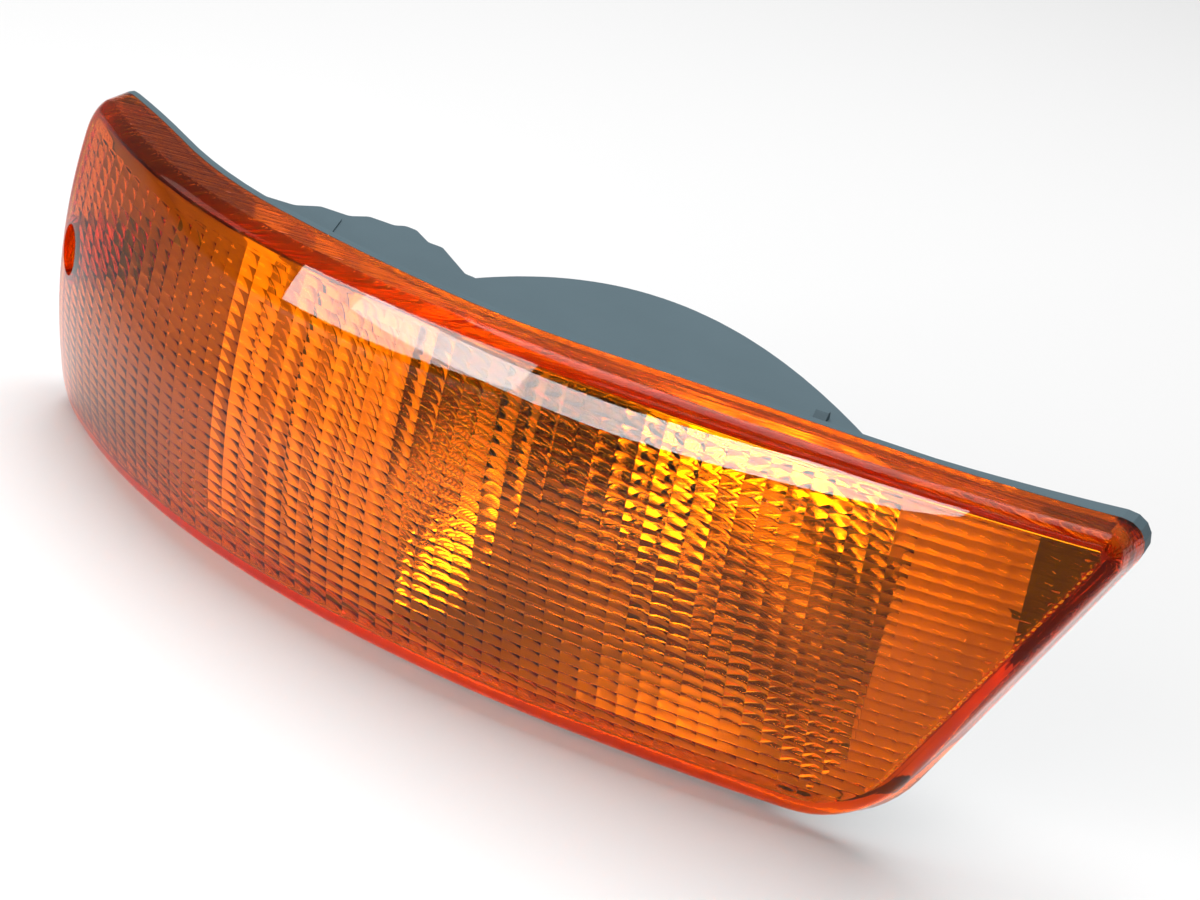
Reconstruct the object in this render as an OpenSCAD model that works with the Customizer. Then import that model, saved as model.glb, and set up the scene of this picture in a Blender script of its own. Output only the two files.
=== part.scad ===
// Front direction indicator lamp with a wrap-around outboard end.
// One amber lens closes a moulded housing, whose inner face is the reflector:
// a truncated parabolic bowl and, outboard of it, a shallow fluted chamber.
// A twist-lock holder at the back of the bowl carries a single-filament bulb.
// The origin is the seat of the fixing screw's head, on the screw's axis.
// Plans are drawn from the point where that axis meets the lens face, and placed() moves them.
// X runs inboard along the lamp, Y runs back into the vehicle and Z is up.

/* [Lens outline] */
// Height of the top edge above the screw
lens_top = 36.5; // [35:0.1:40]
// Depth of the bottom edge below the screw
lens_bottom = 37.6; // [36:0.1:42]
// Distance from the screw to the outboard edge
lens_left = 6.5; // [6:0.1:9]
// Distance from the screw to the sharp top corner at the inboard end
lens_right = 246.4; // [240:0.1:260]
// Lean of the slanted inboard end from upright
end_lean = 27; // [20:1:32]
// Drop of the top edge between mid-lamp and the screw
top_fall = 5.3; // [3:0.1:7]
// Drop of the bottom edge at the outboard end
bottom_fall = 3.5; // [1:0.1:5]
// Corner radius at the top of the inboard end
corner_top_in = 5; // [4.5:0.1:8]
// Corner radius at the bottom of the inboard end
corner_bottom_in = 25; // [15:0.5:30]
// Corner radius at the outboard end
corner_out = 8; // [6:0.1:12]

/* [Lens form] */
// Depth of the lens from its face to its rear edge, at mid-length
lens_depth = 13.7; // [12:0.1:16]
// Backward tilt of the face at the outboard end
tilt_out = 1.2; // [0:0.1:3]
// Forward tilt of the face at the inboard end
tilt_in = 9.1; // [7:0.1:10]
// Radius of the face's upright section at the outboard end
bow_out = 73; // [70:1:90]
// Radius of the face's upright section at the inboard end
bow_in = 272; // [240:2:300]
// Extra backward curl along the top edge
edge_curl = 1.1; // [0:0.1:1.5]
// Thickness of the lens face between the optics
face_wall = 2; // [1.8:0.1:2.4]
// Thickness of the lens's side walls
side_wall = 2.6; // [2.2:0.1:3]
// Radius of the rounded rim
rim_radius = 3; // [2:0.1:3]

/* [Lens optics] */
// Width of one optic cell
cell_w = 4.06; // [3.8:0.01:4.6]
// Height of one optic cell
cell_h = 2.4; // [2.2:0.01:2.8]
// Height of a cell's pillow
cell_relief = 0.6; // [0.3:0.05:0.8]

/* [Fixing screw] */
// Bore of the well that takes the screw's head
well_bore = 11; // [10:0.1:11.6]
// Wall of the well
well_wall = 1.8; // [1.5:0.1:2]
// Depth of the well down to its floor
well_depth = 7; // [6:0.1:8]
// Thickness of the well's floor
well_floor = 3; // [2.5:0.1:3.2]
// Bore through the floor for the screw
screw_bore = 5.2; // [4.2:0.1:6]
// Angle of the screw's axis in plan, from the Y axis
screw_turn = 46.4; // [44:0.1:50]

/* [Housing] */
// Wall of the housing
shell_wall = 2.2; // [2:0.1:2.6]
// Depth of the rim behind the lens, over most of the lamp
flange_t = 2; // [1.8:0.1:2.6]
// Extra depth of the rim at the inboard end
flange_swell = 3; // [2:0.1:4]
// Step from the lens's top edge down to the bowl's flat top
bowl_step = 3; // [2.5:0.1:5]
// Gap in the welded joint between lens and housing
joint_gap = 0.2; // [0.05:0.05:0.3]

/* [Bowl] */
// Focal length of the parabolic bowl
bowl_focus = 14.15; // [14:0.05:14.5]
// Place of the bowl's vertex along the lamp
bowl_x = 121.5; // [118:0.5:125]
// Place of the bowl's vertex behind the screw
bowl_y = 13.1; // [12:0.1:16]
// Turn of the bowl's axis in plan
bowl_turn = 15; // [12:0.5:18]

/* [Fluted chamber] */
// Rounding of the flutes' corners in plan
flute_round = 1.4; // [0.5:0.1:1.6]
// Place of the flutes' back behind the screw
flute_y = -19.2; // [-20:0.1:-18]
// Place of the first flute along the lamp
flute_x = 55; // [53:0.5:57]

/* [Bulb holder] */
// Outer diameter of the holder's barrel
barrel_d = 28; // [27.6:0.1:30]
// Radial clearance of the barrel in the neck's lip
barrel_gap = 0.3; // [0.2:0.05:0.4]
// Reach of a locking lug beyond the barrel
lug_reach = 2; // [1.5:0.1:2.4]
// Diameter of the holder's flange
holder_flange_d = 41; // [40:0.5:46]
// Length of the neck behind the bowl's vertex
neck_length = 9; // [8:0.1:11]
// Wall of the neck
neck_wall = 2.4; // [2:0.1:3]
// Thickness of the neck's inward lip
lip_t = 2.4; // [2:0.1:3]
// Thickness of the rubber seal
seal_t = 2; // [1.6:0.1:2.6]

/* [Bulb] */
// Diameter of the bulb's glass
glass_d = 25.6; // [24:0.1:26]
// Diameter of the bulb's cap
cap_d = 15; // [14.9:0.05:15.1]
// Distance from the locating pins to the filament
light_centre = 31.8; // [31:0.1:32.5]

/* [Hidden] */
$fn = 64;
small = 0.01;

// Heading of the face in plan at stations along X, in degrees from the X axis
face_heading = [[-10, 50], [25, 37], [60, 22.5], [100, 11.5], [150, 1], [250, -12.5]];
// Heading of the rear edge in plan, in the same form
rear_heading = [[-10, 35], [25, 41.5], [60, 24], [100, 17], [140, 1.5], [200, 0], [245, -11.5]];
// Where the curves of the plan are worked out
plan_x0 = -lens_left - 7.5;
plan_x1 = lens_right + 15.6;
plan_step = 1;
mid_x = 150;
fall_x = 180;
bottom_fall_x = 60;

// Stations of the lens shell: along each corner, along the straight runs, and up the face
corner_steps = 5;
run_steps = 22;
rise_steps = 7;
columns = 2 * corner_steps + run_steps;

// Back of the fluted chamber in plan: level stretches with a ramp between each two
flute_line = [[-7, -3.3], [-2.5, -0.1], [5.5, 0.3], [9.4, 4], [16, 3.9], [18.8, 6.9], [24.7, 6.6],
    [26.3, 8.2], [29, 7.8], [33.7, 3.7], [37, 3.4], [46.5, -5.8], [49.5, -6.2]];

// Small features of the housing
swell_x = lens_right - 41.4;
behind_y = 60;
through = 60;
bowl_steps = 22;
lug_count = 3;
lug_span = 28;
lug_t = 2.2;
unlock_turn = 40;
web_t = 2;
web_reach = 30;
web_fall = web_reach * web_reach / (4 * bowl_focus);
boss_d = 12;
boss_length = 6;
peg_d = 7;
peg_length = 14;
peg_collar = 1.5;
peg_x = lens_right - 24.4;
peg_z = 14;
vent_x = 36;
vent_z = 16;
nipple_d = 6;
nipple_length = 11.5;
strip_x = 69.7;
strip_y = -19.6;
strip_w = 3.2;
strip_length = 14;
strip_rise = 0.5;
strip_turn = 15;
block_x = 178.8;
block_y = -38.9;
block_w = 2.5;
block_rise = 1.5;

// Small features of the holder and the bulb
shroud_w = 20;
shroud_h = 12;
shroud_wall = 1.6;
plunger_r = 3;
pin_reach = 8.75;
pin_d = 2;
pin_turn = 22;
leaf_w = 4;
blade_t = 0.8;
blade_w = 4.8;
blade_x = 3.6;
blade_length = 11.5;
stem_front = -4;
filament_length = 6;
filament_turns = 9;

// Heights shared by the bowl and the chamber
bowl_top = lens_top - bowl_step;
bowl_bottom = lens_bottom - bowl_step;
bowl_reach = 66;

function mix(a, b, t) = a + (b - a) * t;
function clamp(v, lo, hi) = min(max(v, lo), hi);

// Plan curves: running sums of the headings
function plan_curve(table) = [
    for (x = plan_x0, y = 0; x <= plan_x1;
        y = y - plan_step * tan(lookup(x + plan_step / 2, table)), x = x + plan_step) y];
function on_curve(curve, x) =
    let (k = (x - plan_x0) / plan_step, i = floor(k))
    mix(curve[i], curve[i + 1], k - i);
face_curve = plan_curve(face_heading);
rear_curve = plan_curve(rear_heading);
function face_plan(x) = on_curve(face_curve, x) - on_curve(face_curve, 0);
function rear_y(x) = on_curve(rear_curve, x) - on_curve(rear_curve, mid_x)
    + face_plan(mid_x) + lens_depth;

// Front of the lens at a place along and up the lamp
function along(x) = clamp(x / lens_right, 0, 1);
function face_y(x, z) = face_plan(x)
    + z * mix(tan(tilt_out), -tan(tilt_in), along(x))
    + z * z * mix(1 / (2 * bow_out), 1 / (2 * bow_in), along(x))
    + edge_curl * pow(z / lens_top, 3);
function skin_y(x, z, depth) = face_y(x, z) + depth / cos(lookup(x, face_heading));

// Outline of the lamp seen from the front, drawn in by d all round
function top_line(x) = lens_top - top_fall * pow(max(0, fall_x - x) / fall_x, 2);
function bottom_line(x) =
    -lens_bottom - bottom_fall * pow(max(0, bottom_fall_x - x) / bottom_fall_x, 2);
function end_x(z) = lens_right - (lens_top - z) * tan(end_lean);
function arc_points(centre, r, from, to) = [
    for (k = [0:corner_steps])
        let (a = mix(from, to, k / corner_steps))
        [centre[0] + r * cos(a), centre[1] + r * sin(a)]];

top_out_centre = [corner_out - lens_left, top_line(corner_out - lens_left) - corner_out];
bottom_out_centre = [corner_out - lens_left, bottom_line(corner_out - lens_left) + corner_out];
top_in_centre = [end_x(lens_top - corner_top_in) - corner_top_in / cos(end_lean),
    lens_top - corner_top_in];
bottom_in_centre = [end_x(corner_bottom_in - lens_bottom) - corner_bottom_in / cos(end_lean),
    corner_bottom_in - lens_bottom];

function top_points(d) = concat(
    arc_points(top_out_centre, corner_out - d, 180, 90),
    [for (k = [1:run_steps - 1])
        let (x = mix(top_out_centre[0], top_in_centre[0], k / run_steps))
        [x, top_line(x) - d]],
    arc_points(top_in_centre, corner_top_in - d, 90, -end_lean));
function bottom_points(d) = concat(
    arc_points(bottom_out_centre, corner_out - d, 180, 270),
    [for (k = [1:run_steps - 1])
        let (x = mix(bottom_out_centre[0], bottom_in_centre[0], k / run_steps))
        [x, bottom_line(x) + d]],
    arc_points(bottom_in_centre, corner_bottom_in - d, 270, 360 - end_lean));
function reversed(list) = [for (k = [len(list) - 1:-1:0]) list[k]];

module outline(d) {
    polygon(concat(top_points(d), reversed(bottom_points(d))));
}

// Upright prism of the outline, from one Y to another
module outline_prism(d, y0, y1) {
    translate([0, y1, 0])
        rotate([90, 0, 0])
            linear_extrude(height = y1 - y0)
                outline(d);
}

// Column of the plan between two curves, from z0 to z1
module plan_slab(front, back, z0, z1) {
    translate([0, 0, z0])
        linear_extrude(height = z1 - z0)
            polygon(concat(front, reversed(back)));
}

// The lens shell as one polyhedron.
// A grid of points covers the face, and rings of the same points run round its edge.
function share(j) = (1 - cos(180 * j / rise_steps)) / 2;
function grid(d, depth) =
    let (top = top_points(d), bottom = bottom_points(d))
    [for (i = [0:columns]) for (j = [0:rise_steps])
        let (p = top[i] + (bottom[i] - top[i]) * share(j))
        [p[0], skin_y(p[0], p[1], depth), p[1]]];
edge_cells = concat(
    [for (i = [0:columns]) [i, 0]],
    [for (j = [1:rise_steps - 1]) [columns, j]],
    [for (i = [columns:-1:0]) [i, rise_steps]],
    [for (j = [rise_steps - 1:-1:1]) [0, j]]);
edge_index = [for (c = edge_cells) c[0] * (rise_steps + 1) + c[1]];
edge_count = len(edge_index);
grid_count = (columns + 1) * (rise_steps + 1);
function rear_ring(points) = [
    for (k = edge_index) [points[k][0], rear_y(points[k][0]) - joint_gap, points[k][2]]];
function pick(points) = [for (k = edge_index) points[k]];
function grid_faces(start, flip) = [
    for (i = [0:columns - 1]) for (j = [0:rise_steps - 1])
        let (a = start + i * (rise_steps + 1) + j, b = a + 1, c = a + rise_steps + 1, d = c + 1)
        each (flip ? [[a, b, c], [c, b, d]] : [[a, c, b], [c, d, b]])];
function band(a, b) = [
    for (k = [0:edge_count - 1])
        let (n = (k + 1) % edge_count)
        each [[a[k], b[k], a[n]], [a[n], b[k], b[n]]]];
function ring_index(start) = [for (k = [0:edge_count - 1]) start + k];

module lens_shell() {
    soft = 1 - cos(45);
    face = grid(rim_radius, 0);
    shoulder = pick(grid(rim_radius * soft, rim_radius * soft));
    side = grid(0, rim_radius);
    inner = grid(side_wall, face_wall - optic_sink);
    s1 = grid_count;
    s2 = s1 + edge_count;
    s3 = s2 + edge_count;
    s4 = s3 + edge_count;
    s5 = s4 + edge_count;
    polyhedron(
        points = concat(face, shoulder, pick(side), rear_ring(side), rear_ring(inner), inner),
        faces = concat(
            grid_faces(0, false),
            band(edge_index, ring_index(s1)),
            band(ring_index(s1), ring_index(s2)),
            band(ring_index(s2), ring_index(s3)),
            band(ring_index(s3), ring_index(s4)),
            band(ring_index(s4), [for (k = edge_index) k + s5]),
            grid_faces(s5, true)));
}

// Pillow optics: a block whose back is one low pyramid for each cell
cells_x = floor((lens_right + lens_left - 4) / cell_w);
cells_z = floor((lens_top + lens_bottom + bottom_fall - 2) / cell_h);
cells_left = 2 - lens_left;
cells_low = 1 - lens_bottom - bottom_fall;
optic_sink = 0.6;
optic_root = 0.5;
front_skip = 2;

module optics() {
    front_x = ceil(cells_x / front_skip);
    front_z = ceil(cells_z / front_skip / 2);
    corner = [for (i = [0:cells_x]) for (j = [0:cells_z])
        let (x = cells_left + i * cell_w, z = cells_low + j * cell_h)
        [x, skin_y(x, z, face_wall), z]];
    middle = [for (i = [0:cells_x - 1]) for (j = [0:cells_z - 1])
        let (x = cells_left + (i + 0.5) * cell_w, z = cells_low + (j + 0.5) * cell_h)
        [x, skin_y(x, z, face_wall + cell_relief), z]];
    root = [for (i = [0:front_x]) for (j = [0:front_z])
        let (x = mix(cells_left, cells_left + cells_x * cell_w, i / front_x),
            z = mix(cells_low, cells_low + cells_z * cell_h, j / front_z))
        [x, skin_y(x, z, optic_root), z]];
    rows = cells_z + 1;
    m0 = len(corner);
    r0 = m0 + len(middle);
    rrows = front_z + 1;
    pillows = [for (i = [0:cells_x - 1]) for (j = [0:cells_z - 1])
        let (a = i * rows + j, b = a + rows, c = b + 1, d = a + 1, m = m0 + i * cells_z + j)
        each [[a, m, b], [b, m, c], [c, m, d], [d, m, a]]];
    fronts = [for (i = [0:front_x - 1]) for (j = [0:front_z - 1])
        let (a = r0 + i * rrows + j, b = a + rrows, c = b + 1, d = a + 1)
        each [[a, b, c], [a, c, d]]];
    left = concat([for (j = [0:cells_z]) j], [for (j = [front_z:-1:0]) r0 + j]);
    right = concat([for (j = [cells_z:-1:0]) cells_x * rows + j],
        [for (j = [0:front_z]) r0 + front_x * rrows + j]);
    low = concat([for (i = [cells_x:-1:0]) i * rows], [for (i = [0:front_x]) r0 + i * rrows]);
    high = concat([for (i = [0:cells_x]) i * rows + cells_z],
        [for (i = [front_x:-1:0]) r0 + i * rrows + front_z]);
    intersection() {
        polyhedron(points = concat(corner, middle, root),
            faces = concat(pillows, fronts, [left, right, low, high]));
        outline_prism(side_wall - 0.6, -90, 60);
    }
}

// Axis of the fixing screw: local Z points back into the lamp
module on_screw() {
    rotate([0, 0, -screw_turn])
        rotate([-90, 0, 0])
            children();
}

// From the drawing's reference point on the lens face to the origin
module placed() {
    translate([-well_depth * sin(screw_turn), -well_depth * cos(screw_turn), 0])
        children();
}

// Face, rim, walls, optics and screw well, kept as one mesh
module lens_body() {
    resize([0, 0, 0])
        union() {
            lens_shell();
            difference() {
                optics();
                on_screw()
                    cylinder(d = well_bore + 2 * well_wall + 3, h = through, center = true);
            }
            intersection() {
                on_screw()
                    translate([0, 0, face_wall / 2])
                        cylinder(d = well_bore + 2 * well_wall,
                            h = well_depth + well_floor - face_wall / 2);
                outline_prism(side_wall / 2, -30, 30);
            }
        }
}

module lens() {
    color([0.95, 0.45, 0.02])
        placed() difference() {
            lens_body();
            on_screw()
                translate([0, 0, -12])
                    cylinder(d = well_bore, h = 12 + well_depth);
            on_screw()
                translate([0, 0, well_depth - small])
                    cylinder(d = screw_bore, h = well_floor + 8);
        }
}

// Rear of the lens in plan, and the back of the rim behind it
function flange_depth(x) =
    flange_t + flange_swell * clamp((x - swell_x) / (lens_right - swell_x), 0, 1);
rear_line = [for (x = [plan_x0 + 2:6:plan_x1 - 2]) [x, rear_y(x)]];
flange_line = [for (p = rear_line) [p[0], p[1] + flange_depth(p[0])]];
behind_line = [for (p = rear_line) [p[0], behind_y]];

module behind_lens() {
    plan_slab(rear_line, behind_line, -through, through);
}

module flange() {
    intersection() {
        outline_prism(0, -90, behind_y);
        plan_slab(rear_line, flange_line, -through, through);
    }
}

// Axis of the bowl: local Z points back from the vertex, local X inboard, local Y down
module on_bowl() {
    translate([bowl_x, bowl_y, 0])
        rotate([0, 0, bowl_turn])
            rotate([-90, 0, 0])
                children();
}

module paraboloid(shift) {
    rotate_extrude()
        polygon(concat(
            [for (k = [0:bowl_steps])
                let (r = bowl_reach * k / bowl_steps)
                [r, shift - r * r / (4 * bowl_focus)]],
            [[0, shift - bowl_reach * bowl_reach / (4 * bowl_focus)]]));
}

module level_slab(drop) {
    translate([plan_x0, -2 * through, drop - bowl_bottom])
        cube([plan_x1 - plan_x0, 4 * through, bowl_top + bowl_bottom - 2 * drop]);
}

// Fluted chamber: a slab whose back is drawn by the flutes, its corners rounded
module chamber(shrink) {
    $fn = 24;
    count = len(flute_line);
    back = [for (p = flute_line) [flute_x + p[0], flute_y + p[1]]];
    translate([0, 0, shrink - bowl_bottom])
        linear_extrude(height = bowl_top + bowl_bottom - 2 * shrink)
            offset(r = flute_round)
                offset(r = -2 * flute_round)
                    offset(r = flute_round)
                        offset(delta = -shrink)
                            polygon(concat([[back[0][0], -through]], back,
                                [[back[count - 1][0], -through]]));
}

neck_bore = barrel_d / 2 + lug_reach + 0.5;
neck_outer = neck_bore + neck_wall;
lug_back = neck_length - lip_t - barrel_gap;

module ring_sector(r0, r1, h, from, span) {
    rotate([0, 0, from])
        rotate_extrude(angle = span)
            translate([r0, 0])
                square([r1 - r0, h]);
}

module neck() {
    translate([0, 0, -8])
        cylinder(r = neck_outer, h = 8 + neck_length);
}

module neck_cut() {
    translate([0, 0, -30])
        cylinder(r = neck_bore, h = 30 + neck_length - lip_t);
    cylinder(r = barrel_d / 2 + barrel_gap, h = neck_length + 1);
    for (k = [0:lug_count - 1])
        translate([0, 0, neck_length - lip_t - 1])
            ring_sector(barrel_d / 2 - 1, barrel_d / 2 + lug_reach + barrel_gap, lip_t + 2,
                k * 360 / lug_count + unlock_turn - lug_span / 2 - 1.5, lug_span + 3);
}

// Webs that brace the neck on the back of the bowl
module neck_webs() {
    for (turn = [0:90:270])
        rotate([0, 0, turn])
            translate([0, web_t / 2, 0])
                rotate([90, 0, 0])
                    linear_extrude(height = web_t)
                        polygon([[neck_outer - 1, -8], [neck_outer - 1, neck_length - 3],
                            [neck_outer + 2, neck_length - 3], [web_reach, 0.4 - web_fall],
                            [web_reach - 5, -1 - web_fall]]);
}

module peg() {
    rotate([-90, 0, 0])
        rotate_extrude()
            polygon([[0, -2], [peg_d / 2 + 2, -2], [peg_d / 2 + 2, peg_collar],
                [peg_d / 2, peg_collar], [peg_d / 2, peg_length - 1.5],
                [peg_d / 2 - 1.2, peg_length], [0, peg_length]]);
}

module on_vent() {
    translate([vent_x, rear_y(vent_x) + flange_t / 2, vent_z])
        rotate([-90, 0, 0])
            children();
}

module housing() {
    color([0.31, 0.39, 0.42])
        placed() difference() {
            union() {
                flange();
                intersection() {
                    union() {
                        on_bowl()
                            paraboloid(0);
                        chamber(0);
                    }
                    level_slab(0);
                    behind_lens();
                }
                on_bowl()
                    neck();
                intersection() {
                    on_bowl()
                        neck_webs();
                    level_slab(0);
                }
                on_screw()
                    translate([0, 0, well_depth + well_floor + joint_gap])
                        cylinder(d = boss_d, h = boss_length);
                translate([peg_x, rear_y(peg_x) + flange_depth(peg_x), peg_z])
                    peg();
                on_vent()
                    cylinder(d = nipple_d, h = nipple_length);
                intersection() {
                    translate([strip_x, strip_y, bowl_top - 1])
                        rotate([0, 0, strip_turn])
                            translate([-strip_w / 2, -strip_length, 0])
                                cube([strip_w, strip_length, 1 + strip_rise]);
                    behind_lens();
                }
                translate([block_x, block_y, bowl_top])
                    rotate([90, 0, 90])
                        linear_extrude(height = block_w)
                            polygon([[-1, -1], [0, 0], [block_rise, block_rise],
                                [block_rise + 1, block_rise], [block_rise + 1.4, -1]]);
            }
            intersection() {
                union() {
                    on_bowl()
                        paraboloid(-shell_wall);
                    chamber(shell_wall);
                }
                level_slab(shell_wall);
            }
            on_bowl()
                neck_cut();
            on_screw()
                cylinder(d = screw_bore + 2 * barrel_gap, h = through);
            on_vent()
                translate([0, 0, -4])
                    cylinder(d = nipple_d - 3, h = nipple_length + 8);
        }
}

// Rubber cap over the vent nipple, with a slotted skirt
module vent_cap() {
    color([0.08, 0.08, 0.09])
        placed() on_vent()
            difference() {
                translate([0, 0, nipple_length - 5])
                    cylinder(d = nipple_d + 4, h = 8);
                translate([0, 0, nipple_length - 6])
                    cylinder(d = nipple_d, h = 6.2);
                translate([0, 0, nipple_length])
                    cylinder(d = nipple_d - 2, h = 1.5);
                for (turn = [0, 90])
                    rotate([0, 0, turn])
                        translate([-nipple_d, -0.6, nipple_length - 5 - small])
                            cube([2 * nipple_d, 1.2, 2]);
            }
}

// Places along the bowl's axis, from its vertex
pin_plane = light_centre - bowl_focus;
cap_front = pin_plane - 12;
cap_back = pin_plane + 6.2;
cap_wall = 0.4;
contact_back = cap_back + 0.6;
flange_front = neck_length + barrel_gap + seal_t;
socket_floor = contact_back + 4.8;
shroud_back = socket_floor + 13;
bore_r = cap_d / 2 + 0.15;
body_r = 13.4;

module holder_seal() {
    color([0.1, 0.1, 0.11])
        placed() on_bowl()
            translate([0, 0, neck_length + barrel_gap])
                difference() {
                    cylinder(r = neck_outer - 0.3, h = seal_t);
                    translate([0, 0, -1])
                        cylinder(r = barrel_d / 2 + 0.05, h = seal_t + 2);
                }
}

module holder_body() {
    rotate_extrude()
        polygon([[barrel_d / 2 - 2, -1], [barrel_d / 2, -1], [barrel_d / 2, flange_front],
            [holder_flange_d / 2, flange_front], [holder_flange_d / 2, flange_front + 3],
            [body_r, flange_front + 3], [body_r, socket_floor], [plunger_r + 0.2, socket_floor],
            [plunger_r + 0.2, contact_back + 2.8], [bore_r, contact_back + 2.8],
            [bore_r, cap_front + 1], [barrel_d / 2 - 2, cap_front + 1]]);
}

module bulb_holder() {
    color([0.09, 0.1, 0.11])
        placed() on_bowl()
            difference() {
                union() {
                    holder_body();
                    for (k = [0:lug_count - 1])
                        translate([0, 0, lug_back - lug_t])
                            ring_sector(barrel_d / 2 - 1, barrel_d / 2 + lug_reach, lug_t,
                                k * 360 / lug_count - lug_span / 2, lug_span);
                    translate([-shroud_w / 2, -shroud_h / 2, socket_floor - 1])
                        cube([shroud_w, shroud_h, shroud_back - socket_floor + 1]);
                    for (side = [0, 180])
                        rotate([0, 0, side])
                            translate([body_r - 1, -1.5, flange_front + 2])
                                cube([holder_flange_d / 2 - body_r - 1, 3,
                                    socket_floor - flange_front - 4]);
                }
                translate([shroud_wall - shroud_w / 2, shroud_wall - shroud_h / 2, socket_floor])
                    cube([shroud_w - 2 * shroud_wall, shroud_h - 2 * shroud_wall,
                        shroud_back - socket_floor + 1]);
                translate([0, 0, contact_back + 1])
                    cylinder(r = plunger_r + 0.2, h = socket_floor - contact_back);
                for (side = [90, 270])
                    rotate([0, 0, side]) {
                        rotate([0, 0, pin_turn])
                            translate([0, -pin_d / 2 - 0.3, cap_front])
                                cube([pin_reach + 0.3, pin_d + 0.6, pin_plane - cap_front]);
                        translate([0, 0, pin_plane - pin_d / 2 - 0.3])
                            ring_sector(bore_r - 1, pin_reach + 0.3, pin_d + 0.6, -9, pin_turn + 18);
                    }
                translate([bore_r - 1, -leaf_w / 2 - 0.15, cap_front + 4])
                    cube([1.9, leaf_w + 0.3, socket_floor - cap_front - 3]);
            }
}

// Single-filament bayonet bulb
module bulb_glass() {
    ball_r = glass_d / 2;
    tail_r = cap_d / 2 - cap_wall - 0.3;
    blend = 7;
    tail_z = sqrt(pow(ball_r + blend, 2) - pow(tail_r + blend, 2));
    tilt = atan2(tail_r + blend, tail_z);
    wall = 0.7;
    function skin(inset) = concat(
        [for (a = [180:-9:tilt]) [(ball_r - inset) * sin(a), (ball_r - inset) * cos(a)]],
        [for (t = [0:0.25:1])
            let (a = mix(180 + tilt, 270, t))
            [tail_r + blend + (blend + inset) * sin(a), tail_z + (blend + inset) * cos(a)]],
        [[tail_r - inset, cap_front + bowl_focus + 3]]);
    color([0.92, 0.95, 0.97, 0.35])
        placed() on_bowl()
            translate([0, 0, -bowl_focus])
                rotate_extrude()
                    polygon(concat(skin(0), reversed(skin(wall))));
}

module pin_pair(d) {
    for (side = [90, 270])
        rotate([0, 0, side])
            translate([cap_d / 2 - cap_wall - 0.4, 0, pin_plane])
                rotate([0, 90, 0])
                    cylinder(d = d, h = pin_reach - cap_d / 2 + cap_wall + 0.4, $fn = 24);
}

module bulb_cap() {
    color([0.8, 0.68, 0.38])
        placed() on_bowl()
            difference() {
                rotate_extrude()
                    polygon([[cap_d / 2, cap_front], [cap_d / 2, cap_back - 1.5],
                        [cap_d / 2 - 1.5, cap_back], [4.6, cap_back], [4.6, cap_back - cap_wall],
                        [cap_d / 2 - 1.7, cap_back - cap_wall],
                        [cap_d / 2 - cap_wall, cap_back - 1.7], [cap_d / 2 - cap_wall, cap_front]]);
                pin_pair(pin_d + 0.1);
            }
}

module bulb_pins() {
    color([0.78, 0.66, 0.36])
        placed() on_bowl()
            pin_pair(pin_d);
}

module bulb_insulator() {
    color([0.12, 0.12, 0.14])
        placed() on_bowl()
            rotate_extrude()
                polygon([[0, cap_back - 3], [cap_d / 2 - cap_wall - 0.1, cap_back - 3],
                    [cap_d / 2 - cap_wall - 0.1, cap_back - 1.9],
                    [cap_d / 2 - 1.9, cap_back - cap_wall - 0.1],
                    [4.5, cap_back - cap_wall - 0.1], [4.5, cap_back], [0, cap_back]]);
}

module bulb_contact() {
    color([0.7, 0.7, 0.72])
        placed() on_bowl()
            translate([0, 0, cap_back])
                cylinder(r1 = 2.6, r2 = 1.8, h = contact_back - cap_back);
}

module bulb_stem() {
    color([0.85, 0.88, 0.9, 0.5])
        placed() on_bowl()
            rotate_extrude()
                polygon([[0, stem_front], [4.2, stem_front], [4.2, stem_front + 1.2],
                    [2.2, stem_front + 2.4], [2.2, cap_front - 3], [3, cap_front],
                    [6, cap_front + 2.6], [6, cap_front + 3.2], [0, cap_front + 3.2]]);
}

// Tube swept along a helix, as one polyhedron
function helix_rings(r, wire, pitch, turns, sides, per_turn) = [
    for (k = [0:turns * per_turn])
        let (a = 360 * k / per_turn, z = pitch * k / per_turn)
        for (s = [0:sides - 1])
            let (b = 360 * s / sides, q = r + wire / 2 * cos(b))
            [q * cos(a), q * sin(a), z + wire / 2 * sin(b)]];
module helix(r, wire, pitch, turns, sides, per_turn) {
    rings = turns * per_turn;
    polyhedron(
        points = helix_rings(r, wire, pitch, turns, sides, per_turn),
        faces = concat(
            [[for (s = [sides - 1:-1:0]) s]],
            [[for (s = [0:sides - 1]) rings * sides + s]],
            [for (k = [0:rings - 1]) for (s = [0:sides - 1])
                let (a = k * sides + s, b = k * sides + (s + 1) % sides)
                each [[a, b, a + sides], [b, b + sides, a + sides]]]));
}

module filament() {
    color([0.55, 0.56, 0.58])
        placed() on_bowl()
            translate([-filament_length / 2, 0, -bowl_focus])
                rotate([0, 90, 0])
                    helix(0.7, 0.3, filament_length / filament_turns, filament_turns, 5, 10);
}

module filament_supports() {
    color([0.6, 0.6, 0.62])
        placed() on_bowl()
            for (side = [-1, 1])
                translate([side * (filament_length / 2 + 0.5), 0, -bowl_focus - 0.8])
                    cylinder(d = 0.6, h = stem_front + bowl_focus + 0.75, $fn = 16);
}

module contact_plunger() {
    color([0.8, 0.68, 0.38])
        placed() on_bowl()
            translate([0, 0, contact_back + 0.1]) {
                cylinder(r = plunger_r, h = 1.2);
                translate([0, 0, 1.2 - small])
                    cylinder(r = 1.2, h = 1.4);
            }
}

module contact_spring() {
    turns = 4;
    wire = 0.5;
    front = contact_back + 1.3;
    color([0.7, 0.7, 0.72])
        placed() on_bowl()
            translate([0, 0, front + wire / 2 + 0.05])
                helix(plunger_r - 0.6, wire, (socket_floor - front - wire - 0.1) / turns, turns, 6, 14);
}

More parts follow.
